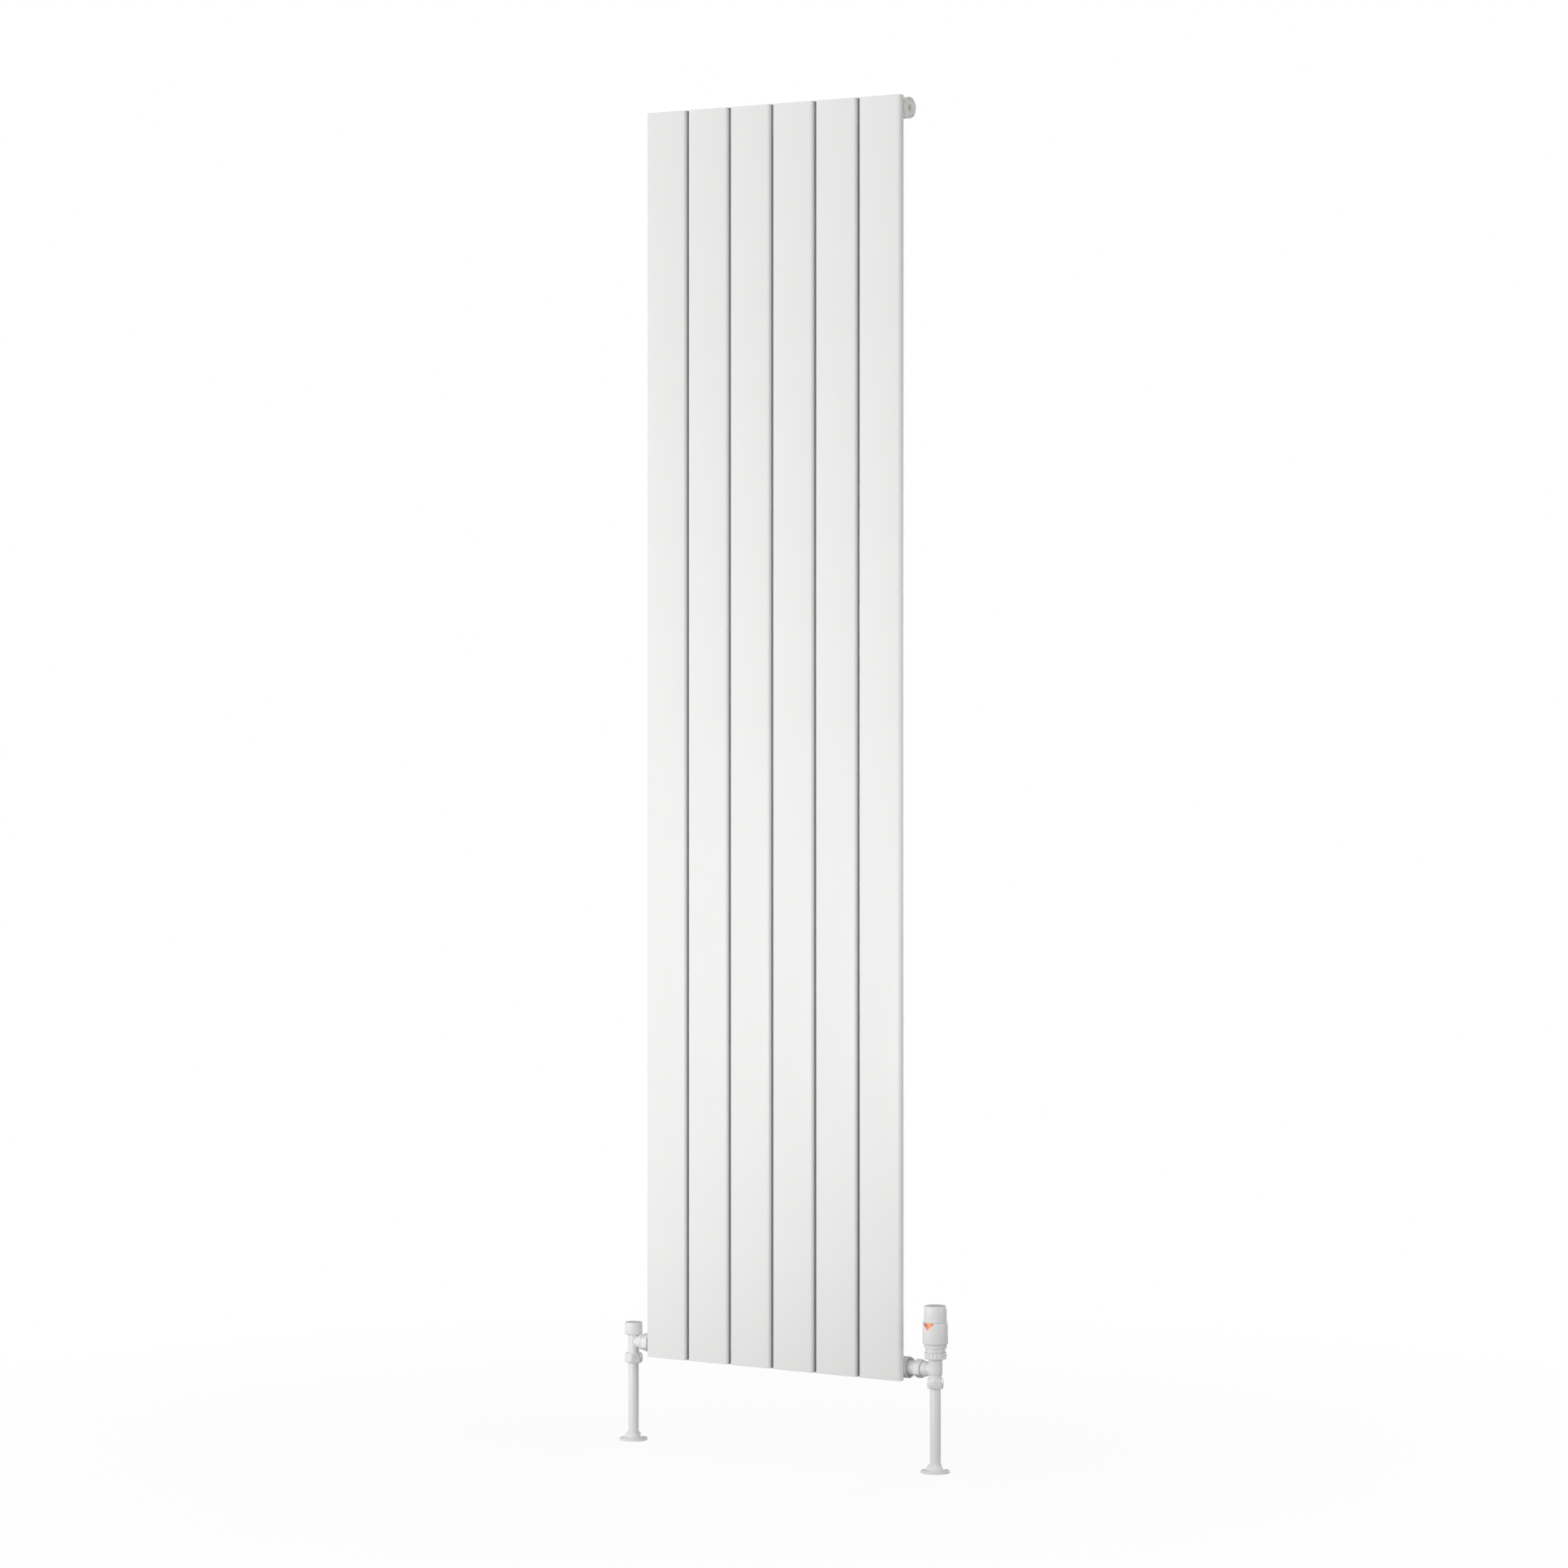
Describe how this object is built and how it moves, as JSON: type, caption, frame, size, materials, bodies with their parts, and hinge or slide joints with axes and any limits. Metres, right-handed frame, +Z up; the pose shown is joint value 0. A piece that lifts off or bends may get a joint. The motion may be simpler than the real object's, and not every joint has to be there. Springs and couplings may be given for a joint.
{
  "type": "radiator with valve",
  "caption": "Tall wall-hung panel radiator with flat vertical panels, a thermostatic valve at one lower corner and a lockshield valve at the other.",
  "frame": {"origin": "on the floor under the middle of the part: half way between the pipe collars' outer edges and half way between the panels' front and the wall plane", "axes": "+X to the right seen from the front, +Y towards the wall, +Z up"},
  "size_m": [0.5652, 0.068, 1.927],
  "materials": {
    "white_paint": "satin powder coat",
    "white_plastic": "semi-gloss moulded",
    "cream_plastic": "matt moulded",
    "copper": "satin copper-coloured metal",
    "brass": "machined",
    "steel": "machined",
    "black_rubber": "matt",
    "grey_nylon": "matt moulded"
  },
  "bodies": {
    "radiator": {"panel_1": "white_paint", "panel_2": "white_paint", "panel_3": "white_paint", "panel_4": "white_paint", "panel_5": "white_paint", "panel_6": "white_paint", "header_bottom": "white_paint", "header_top": "white_paint", "end_bush_bottom_left": "steel", "end_bush_bottom_right": "steel", "end_bush_top_left": "steel", "end_bush_top_right": "steel", "blanking_plug": "cream_plastic", "blanking_plug_seal": "black_rubber", "air_vent_plug": "cream_plastic", "air_vent_seal": "black_rubber", "wall_bracket_lower_left": "white_paint", "wall_bracket_lower_right": "white_paint", "wall_bracket_upper_left": "white_paint", "wall_bracket_upper_right": "white_paint", "isolator_lower_left": "grey_nylon", "isolator_lower_right": "grey_nylon", "isolator_upper_left": "grey_nylon", "isolator_upper_right": "grey_nylon", "trv_tail": "white_paint", "trv_union_nut": "white_paint", "trv_compression_nut": "white_paint", "trv_body": "white_paint", "trv_union_ring": "steel", "trv_stem_spring": "steel", "trv_union_seal": "black_rubber", "trv_stem_seal": "black_rubber", "trv_olive": "brass", "trv_gland": "brass", "trv_ring_nut": "white_plastic", "trv_head_base": "white_plastic", "lockshield_tail": "white_paint", "lockshield_union_nut": "white_paint", "lockshield_compression_nut": "white_paint", "lockshield_body": "white_paint", "lockshield_union_ring": "steel", "lockshield_union_seal": "black_rubber", "lockshield_gland_seal": "black_rubber", "lockshield_olive": "brass", "lockshield_gland_nut": "brass", "pipe_left": "white_paint", "pipe_right": "white_paint"},
    "trv_head": {"trv_sensor": "brass"},
    "trv_knob": {"trv_knob_sleeve": "white_plastic", "trv_knob_cap": "white_plastic", "trv_pointer": "copper"},
    "trv_stem_set": {"trv_stem": "steel", "trv_stem_disc": "black_rubber"},
    "lockshield_cap": {"lockshield_cap": "white_plastic"},
    "lockshield_washer": {"lockshield_washer": "black_rubber"},
    "lockshield_spindle": {"lockshield_spindle": "brass"},
    "bleed_screw": {"bleed_screw": "brass"},
    "collar_left": {"collar_left": "white_plastic"},
    "collar_right": {"collar_right": "white_plastic"}
  },
  "joints": [
    {"name": "trv_knob_turn", "type": "hinge", "parent": "trv_head", "child": "trv_knob", "pos_m": [0.262, -0.0077, 0.2], "axis": [0, 0, 1], "range_deg": [-305, 0]},
    {"name": "trv_head_rise", "type": "slide", "parent": "radiator", "child": "trv_head", "axis": [0, 0, 1], "range_m": [-0.003, 0]},
    {"name": "trv_stem_travel", "type": "slide", "parent": "radiator", "child": "trv_stem_set", "axis": [0, 0, 1], "range_m": [-0.0031, 0], "deforming": ["trv_stem_spring"]},
    {"name": "lockshield_cap_lift", "type": "slide", "parent": "radiator", "child": "lockshield_cap", "axis": [0, 0, 1], "range_m": [0, 0.035]},
    {"name": "lockshield_spindle_turn", "type": "hinge", "parent": "lockshield_washer", "child": "lockshield_spindle", "pos_m": [-0.262, -0.0077, 0.15], "axis": [0, 0, 1], "range_deg": [-360, 360]},
    {"name": "lockshield_washer_lift", "type": "slide", "parent": "radiator", "child": "lockshield_washer", "axis": [0, 0, 1], "range_m": [-0.00155, 0.00155]},
    {"name": "bleed_screw_turn", "type": "hinge", "parent": "radiator", "child": "bleed_screw", "pos_m": [-0.22, -0.0077, 1.9105], "axis": [-1, 0, 0], "range_deg": [0, 360]},
    {"name": "collar_left_slide", "type": "slide", "parent": "radiator", "child": "collar_left", "axis": [0, 0, 1], "range_m": [0, 0.06]},
    {"name": "collar_right_slide", "type": "slide", "parent": "radiator", "child": "collar_right", "axis": [0, 0, 1], "range_m": [0, 0.06]}
  ],
  "couplings": [
    {"joint": "trv_knob_turn", "follows": "trv_head_rise", "rad_per_m": 1745.3},
    {"joint": "trv_stem_travel", "follows": "trv_head_rise", "ratio": 1},
    {"joint": "lockshield_washer_lift", "follows": "lockshield_spindle_turn", "m_per_rad": 0.00023873}
  ]
}
